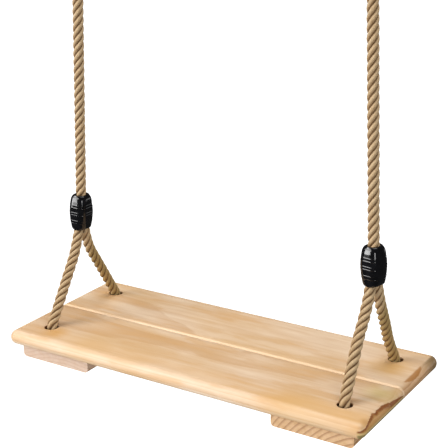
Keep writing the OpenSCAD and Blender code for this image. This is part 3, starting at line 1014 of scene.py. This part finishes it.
def rope_fibre():
    """Tan rope fibre with yarns along each strand; painted highlights on the strands' upper sides,
    painted shade on their lower sides, in the grooves and on the rear legs.
    """
    paint = Paint("rope_fibre")
    lie = paint.node("Attribute", attribute_name="rope_lie").outputs["Vector"]
    groove = paint.node("Attribute", attribute_name="rope_groove").outputs["Fac"]
    _, y, z = paint.parts(paint.place())
    yarn = paint.noise(lie, (1100, 1100, 60))
    hair = paint.noise(lie, (4600, 4600, 300), 2.0, 0.6)
    patch = paint.noise(lie, (70, 70, 50))
    colour = paint.blend(paint.ramp(yarn, 0.3, 0.7), tone(172, 145, 108), tone(190, 165, 128))
    colour = paint.blend(paint.ramp(hair, 0.5, 0.8, 0, 0.25), colour, tone(156, 122, 80))
    colour = paint.blend(paint.ramp(patch, 0.45, 0.75, 0, 0.35), colour, tone(178, 142, 96))
    under = paint.node("Attribute", attribute_name="rope_painted_shading_side").outputs["Fac"]
    # Painted highlight on each strand's upper side, and painted shade on its lower side
    colour = paint.blend(paint.ramp(under, 0.0, -0.7, 0, 0.55), colour, tone(214, 184, 144))
    colour = paint.blend(paint.ramp(under, -0.1, 0.85, 0, 0.72), colour, tone(128, 90, 50))
    # Painted shade: the rear legs below the clamps are browner and darker, in patches
    rear = paint.times(paint.ramp(y, 0.004, 0.016), paint.ramp(z, -0.400, -0.424))
    browner = paint.blend(paint.ramp(patch, 0.4, 0.65), tone(140, 118, 58), tone(152, 122, 64))
    colour = paint.blend(paint.times(rear, 0.65), colour, browner)
    # Painted shade in the grooves between the strands
    colour = paint.blend(paint.ramp(groove, 0.25, 0.95, 0, 0.9), colour, tone(98, 68, 36))
    height = paint.math("MULTIPLY_ADD", hair, 0.35, yarn)
    normal = paint.bump(height, 0.35, 0.0004)
    rough = paint.ramp(yarn, 0.3, 0.7, 0.78, 0.62)
    return paint.finish(colour, rough, normal, Sheen_Weight=0.04, Specular_IOR_Level=0.25)


def clamp_plastic():
    """Glossy black moulded plastic with a faint haze of handling."""
    paint = Paint("clamp_plastic")
    place = paint.place()
    haze = paint.noise(place, 120.0, 3.0)
    grain = paint.noise(place, 1400.0)
    colour = paint.blend(paint.ramp(haze, 0.35, 0.75), tone(8, 8, 10), tone(16, 16, 19))
    rough = paint.ramp(haze, 0.3, 0.8, 0.08, 0.15)
    normal = paint.bump(grain, 0.006, 0.0002)
    return paint.finish(colour, rough, normal)


def steel(name, pale, dark, scale, low, high):
    """Zinc-plated steel with fine wear."""
    paint = Paint(name)
    place = paint.place()
    cloud = paint.noise(place, 90.0, 3.0)
    scratch = paint.noise(place, scale, 3.0, 0.6)
    colour = paint.blend(paint.ramp(cloud, 0.3, 0.7), pale, dark)
    rough = paint.ramp(scratch, 0.3, 0.75, low, high)
    normal = paint.bump(scratch, 0.12, 0.0002)
    return paint.finish(colour, rough, normal, Metallic=0.6)


def dress(pieces, material):
    """Gives the pieces this material and no other."""
    for piece in pieces:
        piece.data.materials.clear()
        piece.data.materials.append(material)


# ---- Battens and screws: CAD meshes, the battens with eased edges ----

BATTEN_EASE = 0.0012
WELD_DISTANCE = 0.00001


def ease_edges(node):
    """Welds a CAD mesh and rounds its sharp edges a little, with modifiers only."""
    weld = node.modifiers.new("weld", "WELD")
    weld.merge_threshold = WELD_DISTANCE
    ease = node.modifiers.new("ease", "BEVEL")
    ease.width = BATTEN_EASE
    ease.segments = 2
    ease.limit_method = "ANGLE"
    ease.angle_limit = math.radians(40)


def dress_cad_nodes():
    """Gives the battens and screws, which stay as CAD meshes, their materials."""
    pink = (tone(206, 179, 156), tone(200, 169, 143), tone(166, 123, 92))
    cream = (tone(212, 173, 130), tone(198, 157, 110), tone(146, 97, 55))
    looks = {
        "left_batten": batten_pine("left_batten_pine", -0.150, -0.700, 0.0045, pink, 0.26),
        "right_batten": batten_pine("right_batten_pine", 0.246, -0.638, 0.0060, cream, 0.60),
    }
    for name, material in looks.items():
        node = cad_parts[name]
        dress([node], material)
        ease_edges(node)
    pale, dark = tone(196, 197, 200), tone(168, 169, 172)
    zinc = steel("screw_steel", pale, dark, (900, 900, 900), 0.24, 0.42)
    for name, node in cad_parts.items():
        if name.endswith("_screws"):
            dress([node], zinc)


# ---- Stage ----

# The surround's light on dull surfaces, and as it shows in glossy ones
AMBIENT = 0.34
GLOSSY_AMBIENT = 0.06
FLOOR_Z = -2.7
FLOOR_REACH = 60.0


def soft_light(name, place, aim, size, power, colour=(1, 1, 1), mirrored=True):
    """A soft rectangle of light aimed at a point, which mirrors show or don't."""
    data = bpy.data.lights.new(name, "AREA")
    data.shape = "RECTANGLE"
    data.size, data.size_y = size
    data.energy = power
    data.color = colour
    light = bpy.data.objects.new(name, data)
    light.visible_camera = False
    light.visible_glossy = mirrored
    light.location = place
    light.rotation_mode = "QUATERNION"
    light.rotation_quaternion = (Vector(aim) - Vector(place)).to_track_quat("-Z", "Y")
    bpy.context.scene.collection.objects.link(light)


def make_floor():
    """A pale floor far below the seat, bright of itself and without shadows."""
    signs = ((-1, -1), (1, -1), (1, 1), (-1, 1))
    corners = [(FLOOR_REACH * x, FLOOR_REACH * y, FLOOR_Z) for x, y in signs]
    floor = new_object("floor", mesh_from("floor", corners, [(0, 1, 2, 3)]))
    paint = Paint("floor")
    paint.finish(tone(250, 250, 250), 0.9, Emission_Color=(1, 1, 1, 1), Emission_Strength=1.0)
    dress([floor], paint.material)
    floor.visible_diffuse = False
    floor.visible_glossy = False
    floor.visible_shadow = False


def make_surround():
    """An even white surround: full to the camera, dimmer to surfaces and dimmest to gloss."""
    world = bpy.data.worlds.new("studio")
    bpy.context.scene.world = world
    world.use_nodes = True
    tree = world.node_tree
    tree.nodes.clear()
    path = tree.nodes.new("ShaderNodeLightPath")
    back = tree.nodes.new("ShaderNodeBackground")
    back.inputs["Color"].default_value = (1, 1, 1, 1)
    strength = None
    for ray, level in (("Is Glossy Ray", GLOSSY_AMBIENT), ("Is Camera Ray", 1.0)):
        pick = tree.nodes.new("ShaderNodeMix")
        tree.links.new(path.outputs[ray], pick.inputs[0])
        pick.inputs[3].default_value = level
        if strength is None:
            pick.inputs[2].default_value = AMBIENT
        else:
            tree.links.new(strength, pick.inputs[2])
        strength = pick.outputs[0]
    tree.links.new(strength, back.inputs["Strength"])
    out = tree.nodes.new("ShaderNodeOutputWorld")
    tree.links.new(back.outputs[0], out.inputs[0])


def make_lights():
    """Soft studio lights; the two strips and the side light draw the clamps' highlights."""
    seat = (0, 0, SEAT_TOP)
    clamps_at = (0, 0, SEAT_TOP + CLAMP_TOP)
    soft_light("key", (-1.75, -1.65, 0.85), seat, (1.5, 1.5), 44.5, (1.0, 0.985, 0.97))
    soft_light("left_strip", (-1.44, -1.56, -0.255), clamps_at, (0.24, 0.81), 7.0)
    soft_light("right_strip", (-1.58, -1.34, -0.335), clamps_at, (0.24, 0.87), 8.8)
    soft_light("side", (1.32, -1.48, -0.14), clamps_at, (0.36, 0.72), 9.0)
    soft_light("rim", (1.05, 1.45, -0.45), clamps_at, (0.8, 0.30), 1.3)
    soft_light("top", (0.1, 0.3, 2.0), seat, (2.0, 2.0), 40.0)
    soft_light("bounce", (-0.1, -1.5, -1.9), seat, (2.2, 1.2), 20.0, (0.84, 0.98, 1.2), False)
    soft_light("fill", (2.1, -0.7, 0.2), seat, (1.6, 1.2), 6.0, mirrored=False)


# ---- The whole scene ----

make_camera()
ropes = make_ropes()
planks = make_planks()
clamps = make_clamps()
rings = make_rings()

dress(ropes, rope_fibre())
dress(planks[:1], plank_pine("front_plank_pine", 0.0, -1))
dress(planks[1:], plank_pine("rear_plank_pine", 3.7, 1))
dress(clamps, clamp_plastic())
ring_tones = tone(205, 206, 209), tone(182, 183, 187)
dress(rings, steel("ring_steel", *ring_tones, (500, 500, 500), 0.20, 0.36))
dress_cad_nodes()
make_floor()
make_surround()
make_lights()
bpy.context.scene.view_settings.view_transform = "Standard"
